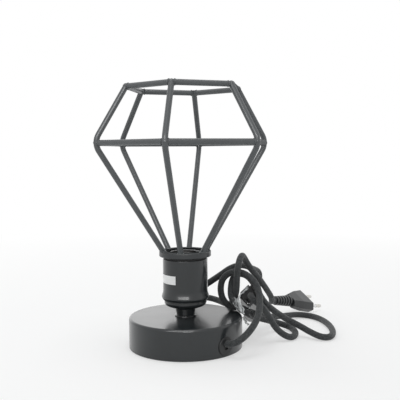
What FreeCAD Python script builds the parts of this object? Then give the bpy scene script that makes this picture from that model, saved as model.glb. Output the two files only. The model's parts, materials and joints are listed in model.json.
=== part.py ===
"""Table lamp: a weighted drum base, a lampholder in a metal cup and a cage of bent rods that screws on to it.

Millimetres. The origin is the centre of the base on the table, +Z is up and the camera looks along +Y.
"""
import FreeCAD, Part
import math
import os
import re

import Sketcher

Vector = FreeCAD.Vector
Placement = FreeCAD.Placement
Rotation = FreeCAD.Rotation

# Driving sizes, in millimetres and degrees.
SIZES = {
    # drum base
    "base_radius": 56.0,
    "base_height": 30.0,
    "base_edge_round": 2.2,
    "shell_wall": 2.0,
    "shell_lift": 0.6,
    "pad_thickness": 1.5,
    "plate_thickness": 1.5,
    "ballast_clearance": 1.5,
    "boss_radius": 4.0,
    "boss_circle_radius": 38.0,
    "plate_screw_radius": 1.5,
    "plate_screw_head": 3.0,
    "plate_screw_grip": 8.0,
    # clearances
    "free_clearance": 0.3,
    "thread_clearance": 0.05,
    "weld_gap": 0.03,
    # cord gland, on the side wall at gland_azimuth_angle
    "gland_azimuth_angle": 313.0,
    "gland_height": 12.4,
    "gland_flange_radius": 8.8,
    "gland_flange_thickness": 1.6,
    "gland_flange_round": 0.6,
    "gland_flange_drop": 1.9,
    "gland_slot_width": 4.4,
    "gland_slot_reach": 1.6,
    "gland_barrel_radius": 5.0,
    "gland_barrel_length": 7.5,
    "gland_nut_flats": 12.0,
    "gland_nut_thickness": 3.0,
    # cord and the two leads inside it
    "cord_radius": 3.1,
    "cord_tail": 2.0,
    "cord_reach": 4.6,
    "lead_radius": 1.1,
    "lead_spacing": 2.6,
    "lead_droop": 5.0,
    # threaded stem and its nuts
    "stem_radius": 5.0,
    "stem_bore": 3.5,
    "stem_tail": 2.5,
    "stem_washer_radius": 12.5,
    "stem_washer_thickness": 1.5,
    "stem_nut_flats": 14.0,
    "stem_nut_thickness": 3.0,
    # neck and dish
    "neck_foot_radius": 8.6,
    "neck_top_radius": 10.0,
    "neck_height": 7.8,
    "dish_foot_radius": 10.5,
    "dish_radius": 20.8,
    "dish_rise": 4.0,
    "dish_rim": 3.9,
    "dish_wall": 1.2,
    "dish_round": 4.0,
    "spigot_radius": 20.2,
    "spigot_height": 7.3,
    # socket cup
    "cup_gap": 1.3,
    "cup_radius": 22.0,
    "cup_wall": 1.0,
    "cup_height": 40.4,
    "cup_lip": 1.2,
    "cup_edge_round": 0.7,
    "bead_radius": 23.4,
    "bead_foot": 22.0,
    "bead_curl": 2.0,
    "bead_band": 1.4,
    "bead_taper": 4.6,
    "bead_round": 2.4,
    "bead_blend": 14.0,
    "label_start_angle": 167.0,
    "label_sweep_angle": 79.0,
    "label_rise": 17.3,
    "label_height": 8.3,
    "label_thickness": 0.15,
    "label_gap": 0.02,
    # lampholder
    "thread_radius": 19.9,
    "shoulder_radius": 20.4,
    "shoulder_length": 32.2,
    "sleeve_wall": 1.9,
    "mouth_radius": 15.2,
    "mouth_depth": 6.9,
    "terminal_plate_thickness": 6.0,
    "hub_depth": 3.0,
    "insulator_wall": 1.15,
    "insulator_floor": 2.5,
    "insulator_skirt": 2.7,
    "insulator_drop": 1.2,
    "wiring_height": 4.0,
    "contact_well": 4.5,
    "contact_well_radius": 12.5,
    "socket_radius": 13.35,
    "socket_wall": 0.5,
    "socket_length": 19.0,
    "terminal_offset": 9.0,
    "terminal_radius": 2.2,
    "terminal_height": 3.4,
    "terminal_shank": 1.5,
    "contact_length": 13.0,
    "contact_width": 6.0,
    "contact_thickness": 0.5,
    "contact_lift_angle": 14.0,
    # cage
    "cage_washer_radius": 21.0,
    "cage_washer_thickness": 2.2,
    "cage_washer_bore": 20.0,
    "collar_radius": 25.5,
    "collar_height": 5.2,
    "collar_gap": 0.1,
    "collar_round": 0.7,
    "rod_radius": 2.75,
    "rib_foot_radius": 22.4,
    "rib_corner_radius": 88.9,
    "rib_corner_rise": 105.6,
    "rib_top_radius": 57.4,
    "rib_top_rise": 158.6,
    "rib_end": 2.5,
    "rib_bend_radius": 15.0,
    "cage_turn_angle": 20.46,
    "bar_setback": 1.6,
    # in-line switch
    "switch_length": 47.4,
    "switch_width": 19.0,
    "switch_thickness": 15.0,
    "switch_wall": 1.8,
    "switch_round": 1.6,
    "switch_nub": 4.2,
    "switch_nub_radius": 4.6,
    "switch_boss_radius": 3.2,
    "switch_screw_spacing": 36.0,
    "switch_screw_radius": 1.2,
    "switch_screw_head": 2.2,
    "switch_screw_sink": 1.2,
    "switch_screw_tip": 3.0,
    "rocker_length": 20.4,
    "rocker_width": 12.0,
    "rocker_thickness": 2.6,
    "rocker_dish_radius": 60.0,
    "rocker_dish_depth": 0.8,
    "rocker_side_gap": 0.35,
    "rocker_end_gap": 1.0,
    "rocker_tilt_angle": 8.0,
    "rocker_hub_radius": 2.4,
    "pivot_radius": 1.0,
    "pivot_height": 4.6,
    "pivot_grip": 1.2,
    "moving_contact_length": 14.0,
    "moving_contact_width": 4.0,
    "fixed_contact_spacing": 12.0,
    "fixed_contact_width": 4.0,
    "switch_contact_thickness": 0.8,
    "switch_contact_gap": 0.4,
    "contact_button_radius": 1.2,
    "contact_button_height": 0.4,
    # plug and its strain relief
    "relief_length": 24.0,
    "relief_core_radius": 4.4,
    "relief_small_radius": 5.2,
    "relief_large_radius": 6.4,
    "relief_rib_count": 6,
    "relief_rib_share": 0.6,
    "plug_rear_length": 11.7,
    "plug_front_length": 14.7,
    "plug_thickness": 13.7,
    "plug_rear_thickness": 11.2,
    "plug_rear_flat": 12.8,
    "plug_crease_flat": 20.8,
    "plug_front_flat": 26.1,
    "plug_edge_reach": 4.6,
    "plug_round": 1.0,
    "pin_radius": 2.0,
    "pin_core_radius": 1.3,
    "pin_length": 19.0,
    "pin_spacing": 18.6,
    "pin_root": 8.0,
    "pin_round": 1.2,
    "sleeve_radius": 1.7,
    "sleeve_length": 10.0,
    # clear film tie round two strands of the hank
    "tie_width": 5.0,
    "tie_wall": 0.4,
    "tie_slack": 0.3,
    "tie_spacing": 8.5,
}

# Sizes worked out from those: radii first, then heights from the table upwards.
DERIVED = {
    "shell_bore": "base_radius - shell_wall",
    "stem_hole": "stem_radius + thread_clearance",
    "plate_radius": "shell_bore - free_clearance",
    "plate_screw_hole": "plate_screw_radius + thread_clearance",
    "gland_bore": "cord_radius + free_clearance",
    "gland_flange_height": "gland_height - gland_flange_drop",
    "gland_seat": "sqrt(base_radius ^ 2 - gland_flange_radius ^ 2) - free_clearance",
    "gland_face": "gland_seat + gland_flange_thickness",
    "gland_hole": "gland_barrel_radius + thread_clearance",
    "gland_nut_corner": "gland_nut_flats / 2 / cos(30)",
    "gland_nut_face": "sqrt(shell_bore ^ 2 - gland_nut_corner ^ 2) - thread_clearance",
    "cord_start": "gland_seat - gland_barrel_length - cord_tail",
    "cord_exit": "gland_face + cord_reach",
    "spigot_bore": "spigot_radius - dish_wall",
    "cup_bore": "cup_radius - cup_wall",
    "cup_mouth": "thread_radius + thread_clearance * 2",
    "collar_bore": "thread_radius + thread_clearance",
    "sleeve_bore": "shoulder_radius - sleeve_wall",
    "insulator_radius": "mouth_radius - thread_clearance * 2",
    "insulator_bore": "insulator_radius - insulator_wall",
    "insulator_flange": "sleeve_bore - thread_clearance * 2",
    "insulator_skirt_bore": "insulator_flange - insulator_skirt",
    "socket_outer": "socket_radius + socket_wall",
    "terminal_hole": "terminal_shank + thread_clearance",
    "rib_lean": "atan((rib_corner_radius - rib_foot_radius) / rib_corner_rise)",
    "rib_lean_back": "atan((rib_corner_radius - rib_top_radius) / (rib_top_rise - rib_corner_rise))",
    "waist_radius": "rib_corner_radius - rib_bend_radius * (1 / cos((rib_lean + rib_lean_back) / 2) - 1)",
    "cope_radius": "rod_radius + weld_gap",
    "rib_tail": "rod_radius * 3",
    "plate_top": "pad_thickness + plate_thickness",
    "ballast_top": "base_height - shell_wall",
    "ballast_bottom": "gland_height + gland_nut_corner + ballast_clearance",
    "ballast_thickness": "ballast_top - ballast_bottom",
    "stem_washer_bottom": "ballast_bottom - stem_washer_thickness",
    "stem_nut_bottom": "stem_washer_bottom - stem_nut_thickness",
    "stem_bottom": "stem_nut_bottom - stem_tail",
    "neck_top": "base_height + neck_height",
    "dish_floor": "neck_top + dish_wall",
    "dish_rim_bottom": "neck_top + dish_rise",
    "dish_top": "dish_rim_bottom + dish_rim",
    "spigot_top": "dish_top + spigot_height",
    "cup_bottom": "dish_top + cup_gap",
    "bead_low": "cup_bottom + bead_curl",
    "bead_high": "bead_low + bead_band",
    "bead_top": "bead_high + bead_taper",
    "cup_top": "cup_bottom + cup_height",
    "lip_bottom": "cup_top - cup_lip",
    "label_bottom": "cup_bottom + label_rise",
    "holder_bottom": "lip_bottom - shoulder_length",
    "stem_top": "holder_bottom + hub_depth",
    "terminal_top": "holder_bottom + terminal_plate_thickness",
    "insulator_ceiling": "terminal_top + wiring_height",
    "well_floor": "insulator_ceiling + insulator_floor",
    "socket_bottom": "well_floor + contact_well",
    "socket_top": "socket_bottom + socket_length",
    "collar_bottom": "cup_top + cage_washer_thickness + collar_gap",
    "collar_top": "collar_bottom + collar_height",
    "mouth_bottom": "collar_top - mouth_depth",
    "insulator_top": "collar_top - insulator_drop",
    "rib_corner_height": "collar_top + rib_corner_rise",
    "rib_top_height": "collar_top + rib_top_rise",
    "cage_top": "rib_top_height + rib_end",
    "switch_half": "switch_thickness / 2",
    "pivot_hole": "pivot_radius + thread_clearance",
    "pivot_length": "switch_width - switch_wall * 2 + pivot_grip * 2",
    "plug_crease": "relief_length + plug_rear_length",
    "plug_front": "plug_crease + plug_front_length",
    "plug_half": "plug_thickness / 2",
    "plug_rear_half": "plug_rear_thickness / 2",
    "plug_rear_reach": "plug_edge_reach * plug_rear_thickness / plug_thickness",
    "plug_rear_half_flat": "plug_rear_flat / 2",
    "plug_crease_half_flat": "plug_crease_flat / 2",
    "plug_front_half_flat": "plug_front_flat / 2",
}

RIB_COUNT = 6
BOSS_COUNT = 3
SIXTH = 360.0 / RIB_COUNT

# Points that the cord's route turns at, chosen by hand: from the gland to the switch, then on to the plug.
CORD_TO_SWITCH = [
    (51.5, -46.3, 17.5), (61.0, -39.0, 24.2), (68.8, -28.5, 33.0), (72.5, -16.5, 45.0), (72.0, -4.5, 57.5),
    (66.6, 3.5, 67.4), (57.0, 8.5, 73.0), (45.6, 11.5, 72.0), (37.2, 14.0, 64.6), (34.8, 16.0, 53.5),
    (37.0, 17.5, 43.5), (43.5, 18.0, 36.0), (52.0, 18.5, 34.8), (60.5, 23.2, 29.8), (70.0, 35.0, 23.2),
    (82.0, 53.0, 15.6), (96.0, 74.0, 9.6), (111.0, 93.0, 6.0), (127.0, 106.0, 4.2), (142.0, 102.0, 3.3),
    (151.5, 86.0, 3.2), (155.3, 65.0, 3.2), (155.5, 44.0, 3.2), (152.6, 26.0, 3.2), (146.0, 13.0, 3.2),
    (136.8, 11.3, 3.8), (127.3, 20.0, 6.6), (116.8, 28.0, 11.6), (106.0, 28.5, 18.3), (95.8, 22.0, 26.3),
    (86.3, 13.0, 34.8), (77.6, 6.5, 43.5), (71.2, 7.0, 54.5), (66.2, 11.2, 63.2), (60.3, 15.5, 68.4),
    (52.4, 17.3, 68.6), (46.2, 15.5, 63.4), (43.7, 12.0, 55.2), (43.4, 8.2, 47.2), (47.6, 6.0, 40.2),
    (56.0, 9.0, 34.5), (65.0, 16.5, 27.8), (76.0, 29.5, 19.8), (88.0, 44.0, 12.8), (99.5, 53.5, 7.4),
    (109.0, 53.5, 4.2), (114.5, 44.5, 3.2), (115.3, 31.0, 3.2), (111.8, 18.0, 3.2), (105.0, 11.3, 3.7),
    (97.0, 10.3, 7.8), (89.6, 8.5, 15.3), (83.4, 4.2, 24.6), (76.4, -1.2, 30.4), (72.3, -6.2, 35.6),
    (69.0, -6.6, 41.6), (66.3, -2.6, 46.4), (65.05, 5.4, 48.3), (65.5, 11.5, 47.0),
]
CORD_TO_PLUG = [
    (69.5, 66.0, 35.5), (70.4, 77.7, 33.0), (73.0, 88.5, 34.5), (76.0, 96.0, 41.5), (77.5, 96.5, 52.0),
    (76.5, 88.5, 60.5), (73.5, 76.5, 66.5), (69.0, 63.0, 70.3), (63.5, 50.5, 72.8), (56.0, 42.0, 73.5),
    (46.0, 38.5, 70.5), (36.0, 37.5, 63.5), (25.0, 38.5, 56.0), (14.5, 42.0, 48.5), (6.5, 49.5, 42.0),
    (3.5, 60.0, 36.5), (8.0, 69.5, 33.5), (17.0, 74.0, 32.3), (27.0, 71.0, 31.5), (36.0, 62.0, 30.3),
    (43.0, 49.5, 29.5), (47.5, 36.0, 33.6), (49.2, 23.0, 41.5), (50.4, 12.0, 48.3), (50.9, 4.5, 57.5),
    (50.9, 0.2, 69.0), (52.2, 0.6, 79.0), (54.3, 4.8, 86.0), (57.6, 12.4, 88.0), (61.0, 19.6, 84.2),
    (65.2, 25.2, 77.2), (71.0, 32.0, 69.2), (77.0, 42.5, 61.0), (82.5, 54.0, 51.5), (88.3, 67.0, 41.3),
    (94.2, 83.5, 31.0), (94.1, 101.6, 21.6), (100.7, 106.8, 20.3),
]
# How the pieces on the cord lie: the way the rocker faces, the way the plug's pin line runs, and the film tie.
ROCKER_FACES = Vector(-0.7, 0.2, 0.72)
PIN_LINE = Vector(-0.498, 0.743, 0.448)
TIE_CENTRE = Vector(62.9, 20.6, 28.6)
TIE_AXIS = Vector(0.67, 0.58, -0.46)
TIE_ACROSS = Vector(0.54, -0.81, -0.23)

SHARE_OF_RUN = 0.45
POINT_STEP = 2.0
LOOP_APART = 30.0

doc = FreeCAD.newDocument("table_lamp")
sheet = doc.addObject("Spreadsheet::Sheet", "Sizes")
NAMES = set(SIZES) | set(DERIVED)
NODES = []


def fill_sheet():
    """Puts every size into the sheet under its own alias."""
    rows = [(name, str(size)) for name, size in SIZES.items()]
    rows += [(name, "=" + formula) for name, formula in DERIVED.items()]
    for row, (name, text) in enumerate(rows, 1):
        sheet.set("A%d" % row, name)
        sheet.set("B%d" % row, text)
        sheet.setAlias("B%d" % row, name)
    doc.recompute()


def size(name):
    """One size as a number."""
    found = sheet.get(name)
    return float(getattr(found, "Value", found))


def total(text):
    """The number that a sum of sizes stands for, such as "cup_top - cup_lip"."""
    sign = 1.0
    answer = 0.0
    for word in text.split():
        if word in ("+", "-"):
            sign = 1.0 if word == "+" else -1.0
        else:
            answer += sign * (size(word) if word in NAMES else float(word))
    return answer


def bound(text):
    """A formula with each size's name turned into a reference to the sheet."""
    return re.sub(r"[a-z_]+", lambda word: ("Sizes." if word.group() in NAMES else "") + word.group(), text)


def bind(thing, formulas):
    for place, text in formulas.items():
        thing.setExpression(place, bound(text))


def put(thing, spot):
    """Ties an object's place to three formulas."""
    bind(thing, {"Placement.Base." + axis: text for axis, text in zip("xyz", spot) if text != "0"})
    return thing


def placed_text(across, along, up, axis, angle):
    """A formula for a place and a turn about an axis."""
    spot = "create(<<vector>>; %s; %s; %s)" % (bound(across), bound(along), bound(up))
    spin = "create(<<rotation>>; create(<<vector>>; %s); %s)" % (axis, bound(angle))
    return "create(<<placement>>; %s; %s)" % (spot, spin)


def turn(thing, angle):
    """Ties an object's turn about the lamp's axis to a formula."""
    thing.setExpression("Placement", placed_text("0", "0", "0", "0; 0; 1", angle))
    return thing


def keep(thing, label):
    """Names an object as a sub-part of the lamp."""
    thing.Label = label
    NODES.append(thing)
    return thing


def sketch(body, name, role):
    plane = next(feature for feature in body.Origin.OriginFeatures if feature.Role == role)
    made = body.newObject("Sketcher::SketchObject", name)
    made.AttachmentSupport = [(plane, "")]
    made.MapMode = "FlatFace"
    return made


def fix_point(made, geometry, end, spot):
    """Ties one point of a sketch to two sums of sizes."""
    for kind, text, axis in zip(("DistanceX", "DistanceY"), spot, (-2, -1)):
        if text == "0":
            made.addConstraint(Sketcher.Constraint("PointOnObject", geometry, end, axis))
        else:
            rule = made.addConstraint(Sketcher.Constraint(kind, -1, 1, geometry, end, total(text)))
            made.setExpression("Constraints[%d]" % rule, bound(text))


def outline(made, corners):
    """Draws a closed outline whose corners are pairs of sums of sizes."""
    spots = [Vector(total(across), total(up), 0) for across, up in corners]
    count = len(spots)
    for number in range(count):
        made.addGeometry(Part.LineSegment(spots[number], spots[(number + 1) % count]), False)
    for number in range(count):
        made.addConstraint(Sketcher.Constraint("Coincident", number, 2, (number + 1) % count, 1))
    for number, corner in enumerate(corners):
        fix_point(made, number, 1, corner)


def turned(name, corners):
    """A body turned about the lamp's axis from an outline of radii and heights."""
    body = doc.addObject("PartDesign::Body", name)
    profile = sketch(body, name + "_profile", "XZ_Plane")
    outline(profile, corners)
    spun = body.newObject("PartDesign::Revolution", name + "_turned")
    spun.Profile = profile
    spun.ReferenceAxis = (profile, ["V_Axis"])
    spun.Angle = 360.0
    doc.recompute()
    return body


def ring_at(radius, height):
    """A test for the round edge of that radius and height about the lamp's axis."""
    def found(edge):
        curve = edge.Curve
        return (isinstance(curve, Part.Circle) and abs(curve.Radius - total(radius)) < 1e-4
                and abs(curve.Center.z - total(height)) < 1e-4)
    return found


def rounded(body, radius, wanted):
    """Rounds the edges of a body that the test picks."""
    tip = body.Tip
    edges = ["Edge%d" % number for number, edge in enumerate(tip.Shape.Edges, 1) if wanted(edge)]
    made = body.newObject("PartDesign::Fillet", body.Name + "_round")
    made.Base = (tip, edges)
    bind(made, {"Radius": radius})
    doc.recompute()
    return body


def eased(name, base, radius, wanted):
    """Rounds the edges of a solid that the test picks."""
    doc.recompute()
    made = doc.addObject("Part::Fillet", name)
    made.Base = base
    reach = size(radius)
    made.Edges = [(number, reach, reach) for number, edge in enumerate(base.Shape.Edges, 1) if wanted(edge)]
    return made


TOWARDS = {"X": Rotation(Vector(0, 1, 0), 90), "Y": Rotation(Vector(1, 0, 0), -90), "Z": Rotation()}


def rod(name, radius, length, start, axis="Z"):
    made = doc.addObject("Part::Cylinder", name)
    made.Placement = Placement(Vector(), TOWARDS[axis])
    bind(made, {"Radius": radius, "Height": length})
    return put(made, start)


def cone(name, low_radius, high_radius, length, start, axis="Z"):
    made = doc.addObject("Part::Cone", name)
    made.Placement = Placement(Vector(), TOWARDS[axis])
    bind(made, {"Radius1": low_radius, "Radius2": high_radius, "Height": length})
    return put(made, start)


def block(name, sides, corner):
    made = doc.addObject("Part::Box", name)
    bind(made, dict(zip(("Length", "Width", "Height"), sides)))
    return put(made, corner)


def centred(name, sides, spot):
    """A block centred across and along, standing on the given height."""
    corner = ["%s - (%s) / 2" % (spot[0], sides[0]), "%s - (%s) / 2" % (spot[1], sides[1]), spot[2]]
    return block(name, sides, corner)


def six_sided(name, flats, height, start, axis="Z"):
    made = doc.addObject("Part::Prism", name)
    made.Polygon = 6
    made.Placement = Placement(Vector(), TOWARDS[axis])
    bind(made, {"Circumradius": flats + " / 2 / cos(30)", "Height": height})
    return put(made, start)


def cut(name, base, tool):
    made = doc.addObject("Part::Cut", name)
    made.Base = base
    made.Tool = tool
    return made


def joined(name, solids):
    made = doc.addObject("Part::MultiFuse", name)
    made.Shapes = solids
    return made


def shared(name, base, tool):
    made = doc.addObject("Part::Common", name)
    made.Base = base
    made.Tool = tool
    return made


def around(name, count, make):
    """Joins copies that a function makes at even steps round the lamp's axis, the first half a step from +X."""
    step = 360.0 / count
    return joined(name, [make("%s_%d" % (name, number + 1), step * (number + 0.5)) for number in range(count)])


def polar(radius, angle, height):
    return ["%s * cos(%g)" % (radius, angle), "%s * sin(%g)" % (radius, angle), height]


def route(points):
    """A wire of straight runs joined by arcs as large as the runs allow, and the arcs' radii."""
    edges = []
    radii = []
    start = points[0]
    for before, here, after in zip(points, points[1:], points[2:]):
        back = before - here
        ahead = after - here
        reach = SHARE_OF_RUN * min(back.Length, ahead.Length)
        half_turn = (math.pi - back.getAngle(ahead)) / 2
        radius = reach / math.tan(half_turn)
        back.normalize()
        ahead.normalize()
        inward = back + ahead
        inward.normalize()
        first = here + back * reach
        last = here + ahead * reach
        middle = here + inward * (math.hypot(radius, reach) - radius)
        edges.append(Part.LineSegment(start, first).toShape())
        edges.append(Part.Arc(first, middle, last).toShape())
        radii.append(radius)
        start = last
    edges.append(Part.LineSegment(start, points[-1]).toShape())
    return Part.Wire(edges), radii


def least_gap(wire, radius):
    """The least gap between stretches of one tube that are apart along it."""
    spots = wire.discretize(Distance=POINT_STEP)
    apart = int(LOOP_APART / POINT_STEP)
    nearest = min(spots[one].distanceToPoint(spots[two])
                  for one in range(len(spots)) for two in range(one + apart, len(spots)))
    return nearest - 2 * radius


def tube(name, points, radius, placed=None):
    """One unbroken tube along a route."""
    wire, radii = route(points)
    ring = Part.Wire(Part.makeCircle(radius, points[0], points[1] - points[0]))
    shape = wire.makePipeShell([ring], True)
    wanted = math.pi * radius ** 2 * wire.Length
    print("%s: length %.0f mm, least radius %.1f mm, volume %.4f of section times length, least gap %.2f mm" % (
        name, wire.Length, min(radii), shape.Volume / wanted, least_gap(wire, radius)))
    print("  radii: " + " ".join("%.0f" % value for value in radii))
    made = doc.addObject("Part::Feature", name)
    made.Shape = shape
    made.Placement = placed or Placement()
    return keep(made, name)


def make_base():
    """Foot pad, plate, drum, ballast and the screws that hold the plate, with +X towards the cord's gland."""
    pad = rod("foot_pad", "plate_radius", "pad_thickness", ["0", "0", "0"])
    keep(pad, "foot_pad")

    def screw_hole(name, angle):
        spot = polar("boss_circle_radius", angle, "pad_thickness")
        shank = rod(name + "_shank", "plate_screw_hole", "plate_thickness", spot)
        sink = cone(name + "_sink", "plate_screw_head + thread_clearance", "plate_screw_hole",
                    "plate_thickness", spot)
        return joined(name, [shank, sink])

    disc = rod("plate_disc", "plate_radius", "plate_thickness", ["0", "0", "pad_thickness"])
    plate = cut("base_plate", disc, around("plate_holes", BOSS_COUNT, screw_hole))
    keep(turn(plate, "gland_azimuth_angle"), "base_plate")

    def screw(name, angle):
        head = cone(name + "_head", "plate_screw_head", "plate_screw_radius", "plate_thickness",
                    polar("boss_circle_radius", angle, "pad_thickness"))
        shank = rod(name + "_shank", "plate_screw_radius", "plate_screw_grip",
                    polar("boss_circle_radius", angle, "plate_top"))
        return joined(name, [head, shank])

    keep(turn(around("plate_screws", BOSS_COUNT, screw), "gland_azimuth_angle"), "plate_screws")

    drum = turned("drum", [
        ("shell_bore", "shell_lift"), ("base_radius", "shell_lift"), ("base_radius", "base_height"),
        ("stem_hole", "base_height"), ("stem_hole", "ballast_top"), ("shell_bore", "ballast_top")])
    rounded(drum, "base_edge_round", ring_at("base_radius", "base_height"))
    hole = rod("gland_wall_hole", "gland_hole", "base_radius", ["0", "0", "gland_height"], "X")
    seat = rod("gland_wall_seat", "gland_flange_radius + free_clearance", "gland_flange_radius",
               ["gland_seat", "0", "gland_flange_height"], "X")
    shell = cut("base_shell", drum, joined("gland_openings", [hole, seat]))
    keep(turn(shell, "gland_azimuth_angle"), "base_shell")

    def boss(name, angle):
        return rod(name, "boss_radius", "ballast_bottom - plate_top",
                   polar("boss_circle_radius", angle, "plate_top"))

    def boss_hole(name, angle):
        return rod(name, "plate_screw_hole", "plate_screw_grip + free_clearance",
                   polar("boss_circle_radius", angle, "plate_top"))

    weight = rod("ballast_disc", "plate_radius", "ballast_thickness", ["0", "0", "ballast_bottom"])
    passage = rod("ballast_passage", "stem_hole", "ballast_thickness", ["0", "0", "ballast_bottom"])
    casting = joined("ballast_casting", [weight, around("ballast_bosses", BOSS_COUNT, boss)])
    bores = joined("ballast_bores", [passage, around("boss_holes", BOSS_COUNT, boss_hole)])
    keep(turn(cut("ballast", casting, bores), "gland_azimuth_angle"), "ballast")


def make_gland():
    """Bushing that the cord leaves the drum through, and its nut inside the wall."""
    flange = rod("gland_flange", "gland_flange_radius", "gland_flange_thickness",
                 ["gland_seat", "0", "gland_flange_height"], "X")
    face = eased("gland_flange_eased", flange, "gland_flange_round",
                 lambda edge: abs(edge.BoundBox.XMin - size("gland_face")) < 1e-4)
    barrel = rod("gland_barrel", "gland_barrel_radius", "gland_barrel_length + gland_flange_thickness / 2",
                 ["gland_seat - gland_barrel_length", "0", "gland_height"], "X")
    bore = rod("gland_passage", "gland_bore", "base_radius",
               ["gland_seat - base_radius / 2", "0", "gland_height"], "X")
    slot = block("gland_slot", ["gland_flange_thickness", "gland_slot_width", "gland_bore + gland_slot_reach"],
                 ["gland_seat", "-gland_slot_width / 2", "gland_height - gland_bore - gland_slot_reach"])
    openings = joined("gland_inner", [bore, slot])
    gland = cut("cord_gland", joined("gland_solid", [face, barrel]), openings)
    keep(turn(gland, "gland_azimuth_angle"), "cord_gland")
    nut = six_sided("gland_hexagon", "gland_nut_flats", "gland_nut_thickness",
                    ["gland_nut_face - gland_nut_thickness", "0", "gland_height"], "X")
    thread = rod("gland_nut_thread", "gland_hole", "base_radius", ["0", "0", "gland_height"], "X")
    keep(turn(cut("gland_nut", nut, thread), "gland_azimuth_angle"), "gland_nut")


def stem_nut(label, bottom):
    nut = six_sided(label + "_hexagon", "stem_nut_flats", "stem_nut_thickness", ["0", "0", bottom])
    thread = rod(label + "_thread", "stem_hole", "stem_nut_thickness", ["0", "0", bottom])
    keep(cut(label, nut, thread), label)


def make_stem():
    """Threaded tube from the ballast up to the lampholder, with its washer, nuts, neck and dish."""
    keep(turned("stem", [
        ("stem_bore", "stem_bottom"), ("stem_radius", "stem_bottom"),
        ("stem_radius", "stem_top"), ("stem_bore", "stem_top")]), "stem")
    keep(turned("stem_washer", [
        ("stem_hole", "stem_washer_bottom"), ("stem_washer_radius", "stem_washer_bottom"),
        ("stem_washer_radius", "ballast_bottom"), ("stem_hole", "ballast_bottom")]), "stem_washer")
    stem_nut("stem_nut_lower", "stem_nut_bottom")
    stem_nut("stem_nut_upper", "dish_floor")
    keep(turned("neck", [
        ("stem_hole", "base_height"), ("neck_foot_radius", "base_height"),
        ("neck_top_radius", "neck_top"), ("stem_hole", "neck_top")]), "neck")
    dish = turned("cup_cap", [
        ("stem_hole", "neck_top"), ("dish_foot_radius", "neck_top"), ("dish_radius", "dish_rim_bottom"),
        ("dish_radius", "dish_top"), ("spigot_radius", "dish_top"), ("spigot_radius", "spigot_top"),
        ("spigot_bore", "spigot_top"), ("spigot_bore", "dish_rim_bottom + dish_wall"),
        ("dish_foot_radius", "dish_floor"), ("stem_hole", "dish_floor")])
    keep(rounded(dish, "dish_round", ring_at("dish_radius", "dish_rim_bottom")), "cup_cap")


def make_cup():
    """Metal cup round the lampholder, with its rolled bead, blank sticker and dark washer on top."""
    cup = turned("socket_cup", [
        ("cup_bore", "cup_bottom"), ("bead_foot", "cup_bottom"), ("bead_radius", "bead_low"),
        ("bead_radius", "bead_high"), ("cup_radius", "bead_top"), ("cup_radius", "cup_top"),
        ("cup_mouth", "cup_top"), ("cup_mouth", "lip_bottom"), ("cup_bore", "lip_bottom")])
    rounded(cup, "cup_edge_round", ring_at("cup_radius", "cup_top"))
    rounded(cup, "bead_round", lambda edge: ring_at("bead_radius", "bead_low")(edge)
            or ring_at("bead_radius", "bead_high")(edge))
    rounded(cup, "bead_blend", ring_at("cup_radius", "bead_top"))
    keep(cup, "socket_cup")

    def sector(name, radius):
        made = rod(name, radius, "label_height", ["0", "0", "label_bottom"])
        bind(made, {"Angle": "label_sweep_angle"})
        return made

    sticker = cut("cup_label", sector("label_outer", "cup_radius + label_gap + label_thickness"),
                  sector("label_inner", "cup_radius + label_gap"))
    keep(turn(sticker, "label_start_angle"), "cup_label")
    keep(turned("cage_washer", [
        ("cage_washer_bore", "cup_top"), ("cage_washer_radius", "cup_top"),
        ("cage_washer_radius", "cup_top + cage_washer_thickness"),
        ("cage_washer_bore", "cup_top + cage_washer_thickness")]), "cage_washer")


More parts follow.
